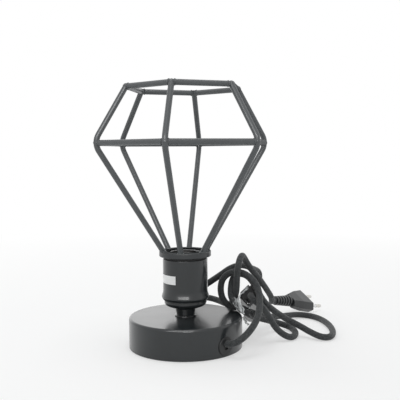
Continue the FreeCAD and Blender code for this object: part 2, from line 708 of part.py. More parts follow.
def make_lampholder():
    """Lampholder: screwed on the stem, drawn up against the cup's lip by the cage's collar."""
    keep(turned("holder_sleeve", [
        ("sleeve_bore", "holder_bottom"), ("shoulder_radius", "holder_bottom"),
        ("shoulder_radius", "lip_bottom"), ("thread_radius", "lip_bottom"), ("thread_radius", "collar_top"),
        ("mouth_radius", "collar_top"), ("mouth_radius", "mouth_bottom"),
        ("sleeve_bore", "mouth_bottom")]), "holder_sleeve")
    keep(turned("insulator", [
        ("insulator_skirt_bore", "terminal_top"), ("insulator_flange", "terminal_top"),
        ("insulator_flange", "well_floor"), ("insulator_radius", "well_floor"),
        ("insulator_radius", "insulator_top"), ("insulator_bore", "insulator_top"),
        ("insulator_bore", "socket_bottom"),
        ("contact_well_radius", "socket_bottom"), ("contact_well_radius", "well_floor"), ("0", "well_floor"),
        ("0", "insulator_ceiling"), ("insulator_skirt_bore", "insulator_ceiling")]), "insulator")
    keep(turned("thread_shell", [
        ("socket_radius", "socket_bottom"), ("socket_outer", "socket_bottom"),
        ("socket_outer", "socket_top"), ("socket_radius", "socket_top")]), "thread_shell")

    plate = turned("terminal_disc", [
        ("stem_hole", "holder_bottom"), ("insulator_flange", "holder_bottom"),
        ("insulator_flange", "terminal_top"), ("stem_bore", "terminal_top"),
        ("stem_bore", "stem_top"), ("stem_hole", "stem_top")])
    sides = (("left", "-terminal_offset"), ("right", "terminal_offset"))
    holes = [rod("terminal_hole_" + side, "terminal_hole", "hub_depth", ["0", across, "stem_top"])
             for side, across in sides]
    drilled = cut("terminal_plate", plate, joined("terminal_holes", holes))
    keep(turn(drilled, "gland_azimuth_angle"), "terminal_plate")
    screws = []
    for side, across in sides:
        shank = rod("terminal_shank_" + side, "terminal_shank", "terminal_plate_thickness - hub_depth",
                    ["0", across, "stem_top"])
        post = rod("terminal_post_" + side, "terminal_radius", "terminal_height", ["0", across, "terminal_top"])
        screws.append(joined("terminal_screw_" + side, [shank, post]))
    keep(turn(joined("terminal_screws", screws), "gland_azimuth_angle"), "terminal_screws")

    contact = doc.addObject("Part::Box", "centre_contact")
    contact.Placement = Placement(Vector(), Rotation(Vector(0, 1, 0), -size("contact_lift_angle")))
    bind(contact, {"Length": "contact_length", "Width": "contact_width", "Height": "contact_thickness"})
    put(contact, ["-contact_length * 0.6", "-contact_width / 2", "well_floor + free_clearance"])
    keep(contact, "centre_contact")


def make_leads():
    """Two insulated leads from the cord's end through the stem to the terminals."""
    level = size("gland_height")
    bend = size("terminal_top") + size("terminal_height") / 2
    reach = size("terminal_offset") - size("terminal_radius") - size("thread_clearance")
    low = level - size("lead_droop")
    sag = (level + low) / 2 - size("lead_radius")
    start = size("cord_start")
    placed = Placement(Vector(), Rotation(Vector(0, 0, 1), size("gland_azimuth_angle")))
    for label, side in (("lead_live", 1), ("lead_neutral", -1)):
        across = side * size("lead_spacing") / 2
        points = [
            Vector(start, across, level), Vector(start * 0.8, across, level), Vector(start * 0.5, across, sag),
            Vector(start * 0.2, across, low),
            Vector(0, across, low + size("stem_bore")), Vector(0, across, bend), Vector(0, side * reach, bend)]
        tube(label, points, size("lead_radius"), placed)


def rib_rod(name, radius):
    """One bent rod of the cage, standing at +X, a little longer than it is needed at its foot and top."""
    body = doc.addObject("PartDesign::Body", name)
    path = sketch(body, name + "_path", "XZ_Plane")
    foot = Vector(size("rib_foot_radius"), size("collar_top"), 0)
    corner = Vector(size("rib_corner_radius"), size("rib_corner_height"), 0)
    top = Vector(size("rib_top_radius"), size("rib_top_height"), 0)
    down = foot - corner
    down.normalize()
    up = top - corner
    up.normalize()
    bend = size("rib_bend_radius")
    half_turn = (math.pi - down.getAngle(up)) / 2
    reach = bend * math.tan(half_turn)
    inward = down + up
    inward.normalize()
    low = corner + down * reach
    high = corner + up * reach
    middle = corner + inward * (bend / math.cos(half_turn) - bend)
    tail = size("rib_tail")
    path.addGeometry(Part.LineSegment(foot + down * tail, low), False)
    path.addGeometry(Part.Arc(low, middle, high), False)
    path.addGeometry(Part.LineSegment(high, top + up * tail), False)
    for place in (corner, foot, top):
        path.addGeometry(Part.Point(place), True)
    arc_start = 1 if path.getPoint(1, 1).distanceToPoint(low) < path.getPoint(1, 2).distanceToPoint(low) else 2
    path.addConstraint(Sketcher.Constraint("Tangent", 0, 2, 1, arc_start))
    path.addConstraint(Sketcher.Constraint("Tangent", 1, 3 - arc_start, 2, 1))
    path.addConstraint(Sketcher.Constraint("PointOnObject", 3, 1, 0))
    path.addConstraint(Sketcher.Constraint("PointOnObject", 3, 1, 2))
    path.addConstraint(Sketcher.Constraint("PointOnObject", 4, 1, 0))
    path.addConstraint(Sketcher.Constraint("PointOnObject", 5, 1, 2))
    fix_point(path, 3, 1, ("rib_corner_radius", "rib_corner_height"))
    fix_point(path, 4, 1, ("rib_foot_radius", "collar_top"))
    fix_point(path, 5, 1, ("rib_top_radius", "rib_top_height"))
    for first, second, far, near in ((0, 4, 1, 1), (2, 5, 2, 1)):
        rule = path.addConstraint(Sketcher.Constraint("Distance", second, near, first, far, tail))
        path.setExpression("Constraints[%d]" % rule, bound("rib_tail"))
    rule = path.addConstraint(Sketcher.Constraint("Radius", 1, bend))
    path.setExpression("Constraints[%d]" % rule, bound("rib_bend_radius"))

    section = sketch(body, name + "_section", "XY_Plane")
    section.addGeometry(Part.Circle(Vector(), Vector(0, 0, 1), size(radius)), False)
    section.addConstraint(Sketcher.Constraint("Coincident", 0, 3, -1, 1))
    rule = section.addConstraint(Sketcher.Constraint("Radius", 0, size(radius)))
    section.setExpression("Constraints[%d]" % rule, bound(radius))
    section.setExpression("AttachmentOffset", placed_text(
        "rib_foot_radius - rib_tail * sin(rib_lean)", "0", "collar_top - rib_tail * cos(rib_lean)",
        "0; 1; 0", "rib_lean"))
    doc.recompute()
    pipe = body.newObject("PartDesign::AdditivePipe", name + "_pipe")
    pipe.Profile = section
    pipe.Spine = (path, [])
    doc.recompute()
    return body


def cage_bar(name, radius, height):
    """A straight bar from the rib at +X to the next one, not yet fitted to them."""
    made = doc.addObject("Part::Cylinder", name)
    made.Placement = Placement(Vector(), Rotation(Vector(-math.cos(math.pi / 6), -0.5, 0), 90))
    bind(made, {"Radius": "rod_radius", "Height": radius + " - 2 * bar_setback"})
    return put(made, [radius + " - bar_setback * 0.5", "bar_setback * cos(30)", height])


def make_cage():
    """Collar with six bent ribs and a ring of bars at the waist and at the top."""
    collar = turned("cage_collar", [
        ("collar_bore", "collar_bottom"), ("collar_radius", "collar_bottom"),
        ("collar_radius", "collar_top"), ("collar_bore", "collar_top")])
    rounded(collar, "collar_round", lambda edge: ring_at("collar_radius", "collar_top")(edge)
            or ring_at("collar_radius", "collar_bottom")(edge))
    keep(collar, "cage_collar")

    rib = rib_rod("rib", "rod_radius")
    span = rod("cage_span", "rib_corner_radius * 2", "cage_top - collar_top", ["0", "0", "collar_top"])
    cope = rib_rod("cope", "cope_radius")
    next_cope = shared("next_cope", cope, span)
    next_cope.Placement = Placement(Vector(), Rotation(Vector(0, 0, 1), SIXTH))
    copes = joined("copes", [cope, next_cope])
    bars = {"waist": cage_bar("waist_bar", "waist_radius", "rib_corner_height"),
            "top": cage_bar("top_bar", "rib_top_radius", "rib_top_height")}
    for number in range(RIB_COUNT):
        angle = "cage_turn_angle + %g" % (SIXTH * number)
        label = "cage_rib_%d" % (number + 1)
        keep(turn(shared(label, rib, span), angle), label)
        for level, bar in bars.items():
            label = "cage_%s_bar_%d" % (level, number + 1)
            keep(turn(cut(label, bar, copes), angle), label)


def upright(edge):
    """Whether an edge is straight and runs along Z."""
    box = edge.BoundBox
    return box.XLength < 1e-4 and box.YLength < 1e-4


def make_switch(frame):
    """In-line switch: two half shells, screws, contacts and a rocker on a pin, in its own frame."""
    half = "switch_half"
    inside = ["switch_length - switch_wall * 2", "switch_width - switch_wall * 2", half + " - switch_wall"]

    def at_screws(name, radius, length, bottom):
        return joined(name, [rod(name + end, radius, length, [sign + "switch_screw_spacing / 2", "0", bottom])
                             for end, sign in (("_near", "-"), ("_far", ""))])

    def half_shell(name, bottom, hollow_bottom, outer_face):
        outer = centred(name + "_block", ["switch_length", "switch_width", half], ["0", "0", bottom])
        smooth = eased(name + "_eased", outer, "switch_round",
                       lambda edge: upright(edge) or abs(edge.CenterOfMass.z - outer_face * size(half)) < 1e-4)
        hollow = centred(name + "_hollow", inside, ["0", "0", hollow_bottom])
        bosses = at_screws(name + "_bosses", "switch_boss_radius", half + " - switch_wall / 2",
                           bottom if outer_face > 0 else "-switch_half + switch_wall / 2")
        return joined(name + "_solid", [cut(name + "_shell", smooth, hollow), bosses])

    lower = half_shell("lower", "-switch_half", "-switch_half + switch_wall", -1)
    nubs = [rod("nub_" + end, "switch_nub_radius", "switch_nub", [start, "0", "0"], "X")
            for end, start in (("near", "-switch_length / 2 - switch_nub"), ("far", "switch_length / 2"))]
    holes = at_screws("lower_holes", "switch_screw_radius + thread_clearance", half, "-switch_half")
    sinks = at_screws("lower_sinks", "switch_screw_head + thread_clearance", "switch_screw_sink",
                      "-switch_half")
    lower = joined("lower_with_nubs", [lower] + nubs)
    pieces = {"switch_lower": cut("switch_lower", lower, joined("lower_bores", [holes, sinks]))}

    upper = half_shell("upper", "0", "0", 1)
    opening = ["rocker_length + rocker_end_gap * 2", "rocker_width + rocker_side_gap * 2", "switch_thickness"]
    window = centred("rocker_window", opening, ["0", "0", "0"])
    blind = at_screws("upper_holes", "switch_screw_radius + thread_clearance",
                      "switch_screw_tip + free_clearance", "0")
    sockets = rod("pin_sockets", "pivot_hole", "pivot_length", ["0", "-pivot_length / 2", "pivot_height"], "Y")
    pieces["switch_upper"] = cut("switch_upper", upper, joined("upper_openings", [window, blind, sockets]))

    pin = doc.addObject("Part::Cylinder", "rocker_pin")
    bind(pin, {"Radius": "pivot_radius", "Height": "pivot_length"})
    pin_end = Vector(0, -size("pivot_length") / 2, size("pivot_height"))
    pin.Placement = frame.multiply(Placement(pin_end, TOWARDS["Y"]))
    keep(pin, "rocker_pin")

    heads = at_screws("switch_heads", "switch_screw_head", "switch_screw_sink / 2",
                      "-switch_half + switch_screw_sink / 2")
    shanks = at_screws("switch_shanks", "switch_screw_radius", half + " - switch_screw_sink + switch_screw_tip",
                       "-switch_half + switch_screw_sink")
    pieces["switch_screws"] = joined("switch_screws", [heads, shanks])

    bar_bottom = "pivot_height - rocker_hub_radius - switch_contact_thickness"
    bar = centred("moving_bar", ["moving_contact_length", "moving_contact_width", "switch_contact_thickness"],
                  ["0", "0", bar_bottom])
    buttons = [rod("contact_button_" + end, "contact_button_radius", "contact_button_height",
                   [sign + "fixed_contact_spacing / 2", "0", bar_bottom + " - contact_button_height"])
               for end, sign in (("near", "-"), ("far", ""))]
    moving = joined("rocker_contact", [bar] + buttons)
    dip = "moving_contact_length / 2 * sin(rocker_tilt_angle) + contact_button_height + switch_contact_gap"
    rise = "switch_half - switch_wall + %s - (%s)" % (bar_bottom, dip)
    posts = [centred("fixed_contact_" + end, ["switch_contact_thickness", "fixed_contact_width", rise],
                     [sign + "fixed_contact_spacing / 2", "0", "-switch_half + switch_wall"])
             for end, sign in (("near", "-"), ("far", ""))]
    pieces["switch_contacts"] = joined("switch_contacts", posts)

    seat = "pivot_height + pivot_radius + free_clearance"
    slab = centred("rocker_slab", ["rocker_length", "rocker_width", "rocker_thickness"], ["0", "0", seat])
    dish_centre = seat + " + rocker_thickness - rocker_dish_depth + rocker_dish_radius"
    dished = rod("rocker_dish", "rocker_dish_radius", "rocker_width",
                 ["0", "-rocker_width / 2", dish_centre], "Y")
    axle = ["0", "-rocker_width / 2", "pivot_height"]
    hub = rod("rocker_hub", "rocker_hub_radius", "rocker_width", axle, "Y")
    bore = rod("rocker_bore", "pivot_hole", "rocker_width", axle, "Y")
    rocker = cut("switch_rocker", joined("rocker_solid", [cut("rocker_top", slab, dished), hub]), bore)

    for label, piece in pieces.items():
        piece.Placement = frame
        keep(piece, label)
    pivot = Placement(Vector(0, 0, size("pivot_height")), Rotation(Vector(0, 1, 0), -size("rocker_tilt_angle")))
    tilted = frame.multiply(pivot).multiply(Placement(Vector(0, 0, -size("pivot_height")), Rotation()))
    for label, piece in (("switch_rocker", rocker), ("rocker_contact", moving)):
        piece.Placement = tilted
        keep(piece, label)
    print("rocker pivot", frame.multVec(Vector(0, 0, size("pivot_height"))))
    print("rocker axis", frame.Rotation.multVec(Vector(0, 1, 0)))


def make_plug(frame):
    """Flat plug with two round pins and a ribbed strain relief, in its own frame with +X towards the pins."""
    core = rod("relief_core", "relief_core_radius", "relief_length", ["0", "0", "0"], "X")
    ribs = []
    growth = "relief_small_radius + (relief_large_radius - relief_small_radius) * %d / (relief_rib_count - 1)"
    for number in range(int(size("relief_rib_count"))):
        start = ["relief_length * %d / relief_rib_count" % number, "0", "0"]
        ribs.append(rod("relief_rib_%d" % (number + 1), growth % number,
                        "relief_length / relief_rib_count * relief_rib_share", start, "X"))
    relief = joined("plug_relief", [core] + ribs)

    sections = []
    for name, along, flat, reach, half in (
            ("rear", "relief_length", "plug_rear_half_flat", "plug_rear_reach", "plug_rear_half"),
            ("crease", "plug_crease", "plug_crease_half_flat", "plug_edge_reach", "plug_half"),
            ("front", "plug_front", "plug_front_half_flat", "plug_edge_reach", "plug_half")):
        section = doc.addObject("Sketcher::SketchObject", "plug_" + name + "_section")
        section.Placement = Placement(Vector(), Rotation(Vector(1, 1, 1), 120))
        bind(section, {"Placement.Base.x": along})
        side = flat + " + " + reach
        outline(section, [(side, "0"), (flat, half), ("0 - " + flat, half),
                          ("0 - " + flat + " - " + reach, "0"), ("0 - " + flat, "0 - " + half),
                          (flat, "0 - " + half)])
        sections.append(section)
    solid = doc.addObject("Part::Loft", "plug_solid")
    solid.Sections = sections
    solid.Solid = True
    solid.Ruled = True
    soft = eased("plug_soft", solid, "plug_round",
                 lambda edge: edge.BoundBox.XLength > 1 or abs(edge.BoundBox.XMax - size("plug_crease")) > 1e-4)
    sides = (("left", "-pin_spacing / 2"), ("right", "pin_spacing / 2"))
    roots = [rod("pin_root_" + end, "pin_core_radius + thread_clearance", "pin_root + plug_round",
                 ["plug_front - pin_root", across, "0"], "X") for end, across in sides]
    case = cut("plug_body", soft, joined("pin_roots", roots))

    pins = []
    sleeves = []
    for end, across in sides:
        shaft = rod("pin_core_" + end, "pin_core_radius", "pin_root + sleeve_length + pin_radius",
                    ["plug_front - pin_root", across, "0"], "X")
        tip = rod("pin_tip_" + end, "pin_radius", "pin_length - sleeve_length",
                  ["plug_front + sleeve_length", across, "0"], "X")
        blunt = eased("pin_blunt_" + end, tip, "pin_round",
                      lambda edge: abs(edge.BoundBox.XMin - size("plug_front") - size("pin_length")) < 1e-4)
        pins.append(joined("pin_" + end, [shaft, blunt]))
        root = ["plug_front", across, "0"]
        outer = rod("sleeve_outer_" + end, "sleeve_radius", "sleeve_length", root, "X")
        inner = rod("sleeve_inner_" + end, "pin_core_radius + thread_clearance", "sleeve_length", root, "X")
        sleeves.append(cut("sleeve_" + end, outer, inner))
    pieces = {"plug_relief": relief, "plug_body": case, "plug_pins": joined("plug_pins", pins),
              "plug_sleeves": joined("plug_sleeves", sleeves)}
    for label, piece in pieces.items():
        piece.Placement = frame
        keep(piece, label)


def make_tie():
    """Band of clear film round two strands of the hank."""
    def stadium(name, radius, length):
        ends = [rod(name + end, radius, length, [sign + "tie_spacing / 2", "0", "-(%s) / 2" % length])
                for end, sign in (("_one", "-"), ("_two", ""))]
        middle = centred(name + "_middle", ["tie_spacing", "(%s) * 2" % radius, length],
                         ["0", "0", "-(%s) / 2" % length])
        return joined(name, ends + [middle])

    outer = stadium("tie_outer", "cord_radius + tie_slack + tie_wall", "tie_width")
    inner = stadium("tie_inner", "cord_radius + tie_slack", "tie_width * 2")
    band = cut("cord_tie", outer, inner)
    up = TIE_AXIS.cross(TIE_ACROSS)
    band.Placement = Placement(TIE_CENTRE, Rotation(TIE_ACROSS, up, TIE_AXIS, "ZXY"))
    keep(band, "cord_tie")


def make_cord():
    """The cord from the gland to the switch and on to the plug, with what is on it."""
    angle = math.radians(size("gland_azimuth_angle"))
    outward = Vector(math.cos(angle), math.sin(angle), 0)
    level = Vector(0, 0, size("gland_height"))
    leaving = [outward * size("cord_start") + level, outward * size("cord_exit") + level]
    to_switch = leaving + [Vector(*spot) for spot in CORD_TO_SWITCH]
    to_plug = [Vector(*spot) for spot in CORD_TO_PLUG]
    tube("cord_lamp", to_switch, size("cord_radius"))
    tube("cord_plug", to_plug, size("cord_radius"))
    near, far = to_switch[-1], to_plug[0]
    along = far - near
    across = ROCKER_FACES.cross(along)
    make_switch(Placement((near + far) / 2, Rotation(along, across, ROCKER_FACES, "XZY")))
    end = to_plug[-1]
    forward = end - to_plug[-2]
    make_plug(Placement(end, Rotation(forward, PIN_LINE, forward.cross(PIN_LINE), "XYZ")))
    make_tie()


def check_and_write():
    """Stops if any object failed, then writes one file per sub-part."""
    doc.recompute()
    failed = [thing.Label for thing in doc.Objects if "Invalid" in thing.State or "Error" in thing.State]
    failed += [node.Label for node in NODES if node.Shape.isNull() or not node.Shape.isValid()]
    if failed:
        raise RuntimeError("failed: " + ", ".join(failed))
    os.makedirs("parts", exist_ok=True)
    for node in NODES:
        node.Shape.exportStep("parts/%s.step" % node.Label)
    print("%d sub-parts" % len(NODES))


fill_sheet()
make_base()
make_gland()
make_stem()
make_cup()
make_lampholder()
make_leads()
make_cage()
make_cord()
check_and_write()
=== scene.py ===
import json
import math

import bmesh
import bpy
from mathutils import Matrix, Vector, noise


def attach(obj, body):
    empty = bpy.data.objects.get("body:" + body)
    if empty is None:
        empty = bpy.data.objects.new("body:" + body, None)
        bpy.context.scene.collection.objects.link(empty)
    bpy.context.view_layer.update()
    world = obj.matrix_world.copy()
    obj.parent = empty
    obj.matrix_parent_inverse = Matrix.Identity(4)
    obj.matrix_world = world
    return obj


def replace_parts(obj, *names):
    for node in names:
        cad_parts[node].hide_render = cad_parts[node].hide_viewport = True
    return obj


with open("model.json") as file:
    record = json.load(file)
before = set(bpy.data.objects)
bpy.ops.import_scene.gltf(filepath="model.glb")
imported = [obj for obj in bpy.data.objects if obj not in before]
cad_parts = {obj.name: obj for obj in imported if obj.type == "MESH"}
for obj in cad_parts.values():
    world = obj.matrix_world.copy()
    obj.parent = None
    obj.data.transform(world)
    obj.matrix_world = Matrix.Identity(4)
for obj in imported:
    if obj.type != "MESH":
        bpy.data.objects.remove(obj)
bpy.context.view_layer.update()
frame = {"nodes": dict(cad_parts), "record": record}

nodes = frame["nodes"]
scene = bpy.context.scene
MM = 0.001
FULL_TURN = 2 * math.pi
QUARTER_TURN = math.pi / 2
NOISE_SEED = 2
noise.seed_set(NOISE_SEED)


def linked(name, data):
    """A new object for a mesh, a curve, a camera or a light, at the origin."""
    made = bpy.data.objects.new(name, data)
    scene.collection.objects.link(made)
    return made


# Camera, fitted to the lamp's rims and the cage's corners.
CAMERA_PLACE = Vector((15.0, -652.7, 190.6)) * MM
CAMERA_PITCH = math.radians(90 - 4.03)
CAMERA_ROLL = math.radians(-0.40)
CAMERA_LENS = 60.1
SENSOR_WIDTH = 36.0
VIEW_END = 50.0

lens = bpy.data.cameras.new("camera")
lens.lens = CAMERA_LENS
lens.sensor_width = SENSOR_WIDTH
lens.clip_end = VIEW_END
camera = linked("camera", lens)
lean = Matrix.Rotation(CAMERA_PITCH, 4, "X") @ Matrix.Rotation(CAMERA_ROLL, 4, "Z")
camera.matrix_world = Matrix.Translation(CAMERA_PLACE) @ lean
scene.camera = camera

# Cords, by points in millimetres, from the gland to the switch and from the switch to the plug.
CORD_RADIUS = 3.25 * MM
GLAND_TURN = math.radians(313)
GLAND_HEIGHT = 12.4
CORD_START = 45.5
CORD_EXIT = 61.2
SWITCH_FAR = (69.5, 66.0, 35.5)
BRAID_STRANDS = 12
BRAID_PITCH = 1.7 * MM
BRAID_DEPTH = 0.16 * MM
BRAID_MIDDLE = 0.6
RINGS_PER_POINT = 26
SIDE_STEPS = 22


def out_of_gland(reach):
    """A point on the gland's axis, at a distance from the lamp's axis."""
    return (reach * math.cos(GLAND_TURN), reach * math.sin(GLAND_TURN), GLAND_HEIGHT)


LAMP_CORD = [
    out_of_gland(CORD_START), out_of_gland(CORD_EXIT),
    (51.5, -46.3, 17.5), (61.0, -39.0, 24.2), (68.8, -28.5, 33.0), (72.5, -16.5, 45.0), (72.0, -4.5, 57.5),
    (66.2, 3.5, 65.8), (56.8, 8.5, 71.4), (45.6, 11.5, 71.4), (37.2, 14.0, 64.6), (34.8, 16.0, 53.5),
    (37.0, 17.5, 42.5), (43.5, 18.0, 34.6), (52.0, 18.5, 33.6), (60.5, 23.2, 29.8), (70.0, 35.0, 23.2),
    (82.0, 53.0, 15.6), (96.0, 74.0, 9.6), (111.0, 93.0, 6.0), (127.0, 106.0, 4.2), (142.0, 102.0, 3.3),
    (150.5, 86.0, 3.3), (154.2, 65.0, 3.3), (154.4, 44.0, 3.3), (151.6, 26.0, 3.3), (146.0, 13.0, 3.3),
    (136.8, 11.3, 3.8), (127.3, 20.0, 6.6), (116.8, 28.0, 11.6), (106.0, 28.5, 17.0), (95.8, 22.0, 24.6),
    (86.3, 13.0, 33.0), (77.6, 6.5, 42.2), (71.2, 7.0, 54.5), (66.2, 11.2, 63.2), (60.3, 15.5, 67.8),
    (52.4, 17.3, 68.6), (47.2, 15.5, 63.4), (45.5, 12.4, 55.4), (45.2, 8.8, 47.0), (49.2, 7.0, 39.2),
    (57.6, 10.5, 32.2), (66.0, 17.5, 25.0), (77.4, 30.0, 18.8), (88.0, 44.0, 12.8), (99.5, 53.5, 7.4),
    (109.0, 53.5, 4.2), (113.2, 44.5, 3.3), (113.8, 31.0, 3.3), (110.6, 18.0, 3.3), (105.0, 11.3, 3.7),
    (97.0, 10.3, 7.8), (89.6, 8.5, 15.3), (84.4, 4.4, 25.0), (80.4, 1.2, 31.8), (76.2, -4.2, 38.4),
    (71.0, -6.8, 43.4), (66.3, -3.4, 46.4), (65.05, 5.0, 48.3), (65.5, 11.5, 47.0),
]
PLUG_CORD = [
    SWITCH_FAR,
    (70.4, 77.7, 33.0), (75.0, 89.0, 33.4), (80.6, 96.5, 39.4), (82.2, 97.0, 49.4), (80.6, 89.4, 57.0),
    (75.6, 76.5, 61.9), (69.4, 63.0, 66.1), (63.5, 50.5, 70.7), (56.0, 42.0, 72.9), (46.0, 38.5, 70.5),
    (36.0, 37.5, 63.5), (25.0, 38.5, 56.0), (14.5, 42.0, 48.5), (6.5, 49.5, 42.0), (3.5, 60.0, 36.5),
    (8.0, 69.5, 33.5), (17.0, 74.0, 32.3), (27.0, 71.0, 31.5), (36.0, 62.0, 30.3), (43.0, 49.5, 29.5),
    (47.5, 36.0, 33.6), (49.2, 23.0, 41.5), (50.4, 12.0, 48.3), (50.9, 4.5, 57.5), (50.9, 0.2, 69.0),
    (52.2, 0.6, 79.0), (54.3, 4.8, 86.0), (57.0, 12.4, 88.0), (59.4, 19.6, 84.2), (63.0, 25.2, 77.2),
    (68.3, 32.0, 69.2), (74.5, 42.5, 61.0), (80.9, 54.0, 51.5), (87.7, 67.0, 40.6), (94.8, 84.2, 28.2),
    (95.6, 101.2, 19.6), (100.7, 106.8, 20.3),
]


def braid_rise(round_the_cord, along_the_cord):
    """How high the braid stands, from 0 in a gap between strands to 1 on the crown of a crossing."""
    one = round_the_cord + along_the_cord
    other = round_the_cord - along_the_cord
    return abs(math.sin(math.pi * one) * math.sin(math.pi * other))


def braided_cord(name, points):
    """A tube with a braided skin along the smooth line that the points control, and the line's points."""
    route = bpy.data.curves.new(name + "_route", "CURVE")
    route.dimensions = "3D"
    spline = route.splines.new("NURBS")
    spline.points.add(len(points) - 1)
    for spot, point in zip(spline.points, points):
        spot.co = (*(Vector(point) * MM), 1.0)
    spline.order_u = 3
    spline.use_endpoint_u = True
    spline.resolution_u = RINGS_PER_POINT
    line = linked(name + "_line", route)
    path = [vert.co.copy() for vert in bpy.data.meshes.new_from_object(line).vertices]
    route.bevel_depth = CORD_RADIUS
    route.bevel_resolution = SIDE_STEPS
    bpy.context.view_layer.update()
    mesh = bpy.data.meshes.new_from_object(line.evaluated_get(bpy.context.evaluated_depsgraph_get()))
    bpy.data.objects.remove(line)

    reached = [0.0]
    for here, ahead in zip(path, path[1:]):
        reached.append(reached[-1] + (ahead - here).length)
    skin = bmesh.new()
    skin.from_mesh(mesh)
    skin.verts.ensure_lookup_table()
    sides = len(skin.verts) // len(path)
    for vert in skin.verts:
        ring, side = divmod(vert.index, sides)
        outward = (vert.co - path[ring]).normalized()
        rise = braid_rise(side / sides * BRAID_STRANDS, reached[ring] / BRAID_PITCH)
        vert.co = path[ring] + outward * (CORD_RADIUS + BRAID_DEPTH * (rise - BRAID_MIDDLE))
    layer = skin.loops.layers.uv.verify()
    for face in skin.faces:
        face.smooth = True
        across = [loop.vert.index % sides for loop in face.loops]
        over_the_seam = max(across) - min(across) > sides // 2
        for loop, side in zip(face.loops, across):
            turned = sides if over_the_seam and side == 0 else side
            along = reached[loop.vert.index // sides]
            loop[layer].uv = (turned / sides * BRAID_STRANDS, along / BRAID_PITCH)
    bmesh.ops.holes_fill(skin, edges=[edge for edge in skin.edges if edge.is_boundary], sides=0)
    bmesh.ops.recalc_face_normals(skin, faces=skin.faces)
    skin.to_mesh(mesh)
    skin.free()
    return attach(linked(name, mesh), "lamp"), path


lamp_cord, lamp_path = braided_cord("lamp_cord", LAMP_CORD)
plug_cord, plug_path = braided_cord("plug_cord", PLUG_CORD)
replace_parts(lamp_cord, "cord_lamp")
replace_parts(plug_cord, "cord_plug")

# Shader helpers, with the numbers of a Mix node's sockets for values and for colours.
VALUE_ENDS = (2, 3)
VALUE_RESULT = 0
COLOUR_ENDS = (6, 7)
COLOUR_RESULT = 2


def add(tree, kind, inputs=None, **settings):
    """One shader node, with its settings and with its inputs linked or set."""
    made = tree.nodes.new("ShaderNode" + kind)
    for name, setting in settings.items():
        setattr(made, name, setting)
    for name, wanted in (inputs or {}).items():
        if isinstance(wanted, bpy.types.NodeSocket):
            tree.links.new(wanted, made.inputs[name])
        else:
            made.inputs[name].default_value = wanted
    return made


def sums(tree, operation, first, second=0.0, clamp=False):
    """The result of one operation on numbers or sockets."""
    return add(tree, "Math", {0: first, 1: second}, operation=operation, use_clamp=clamp).outputs[0]


def spread(tree, source, low, high, start=0.0, end=1.0):
    """A value taken from one range to another, held at its ends."""
    wanted = {"Value": source, "From Min": start, "From Max": end, "To Min": low, "To Max": high}
    return add(tree, "MapRange", wanted).outputs["Result"]


def blended(tree, share, dark, light):
    """A colour between two colours."""
    wanted = {"Factor": share}
    for number, colour in zip(COLOUR_ENDS, (dark, light)):
        wanted[number] = colour if isinstance(colour, bpy.types.NodeSocket) else (*colour, 1.0)
    return add(tree, "Mix", wanted, data_type="RGBA").outputs[COLOUR_RESULT]


def grain(tree, place, scale, detail=2.0, rough=0.5):
    """One noise value at a place."""
    wanted = {"Vector": place, "Scale": scale, "Detail": detail, "Roughness": rough}
    return add(tree, "TexNoise", wanted).outputs["Fac"]


def effect(name, inputs, outputs):
    """An empty shader group with named inputs and outputs."""
    tree = bpy.data.node_groups.new(name, "ShaderNodeTree")
    for label, kind in inputs.items():
        tree.interface.new_socket(label, in_out="INPUT", socket_type="NodeSocket" + kind)
    for label in outputs:
        tree.interface.new_socket(label, in_out="OUTPUT", socket_type="NodeSocketFloat")
    return tree, tree.nodes.new("NodeGroupInput").outputs, tree.nodes.new("NodeGroupOutput").inputs


def fill(tree, sockets, results):
    """Links a group's results to its outputs."""
    for name, result in results.items():
        tree.links.new(result, sockets[name])


# Shader groups, with the scales of their patterns.
SLOW_TONES = 38.0
RUBBED_PATCHES = 160.0
DUST_SPECKS = 1500.0
DUST_DRIFTS = 60.0
YARNS_PER_STRAND = 4


def make_skin():
    """A sprayed or moulded skin: fine waves, finer grain, slow changes of tone and a few rubbed spots."""
    inputs = {"Place": "Vector", "Wave": "Float", "Grain": "Float"}
    tree, given, put = effect("skin", inputs, ["Height", "Tone", "Rubbed"])
    wave = grain(tree, given["Place"], given["Wave"], 1.0)
    fine = grain(tree, given["Place"], given["Grain"], 2.0)
    slow = grain(tree, given["Place"], SLOW_TONES, 3.0, 0.6)
    patch = grain(tree, given["Place"], RUBBED_PATCHES, 4.0, 0.7)
    height = sums(tree, "ADD", sums(tree, "MULTIPLY", wave, 0.7), sums(tree, "MULTIPLY", fine, 0.3))
    tone = sums(tree, "ADD", sums(tree, "MULTIPLY", slow, 0.6), sums(tree, "MULTIPLY", fine, 0.4))
    rubbed = spread(tree, patch, 0.0, 1.0, 0.58, 0.75)
    fill(tree, put, {"Height": height, "Tone": spread(tree, tone, 0.0, 1.0, 0.3, 0.7), "Rubbed": rubbed})
    return tree


def make_dust():
    """Fine dust that settles on what faces up."""
    tree, given, put = effect("dust", {"Place": "Vector", "Facing": "Vector"}, ["Dust"])
    up = add(tree, "SeparateXYZ", {"Vector": given["Facing"]}).outputs["Z"]
    specks = spread(tree, grain(tree, given["Place"], DUST_SPECKS, 3.0, 0.7), 0.0, 1.0, 0.5, 0.75)
    drift = spread(tree, grain(tree, given["Place"], DUST_DRIFTS, 3.0, 0.6), 0.3, 1.0, 0.35, 0.7)
    level = spread(tree, up, 0.0, 1.0, 0.55, 1.0)
    fill(tree, put, {"Dust": sums(tree, "MULTIPLY", sums(tree, "MULTIPLY", specks, drift), level)})
    return tree


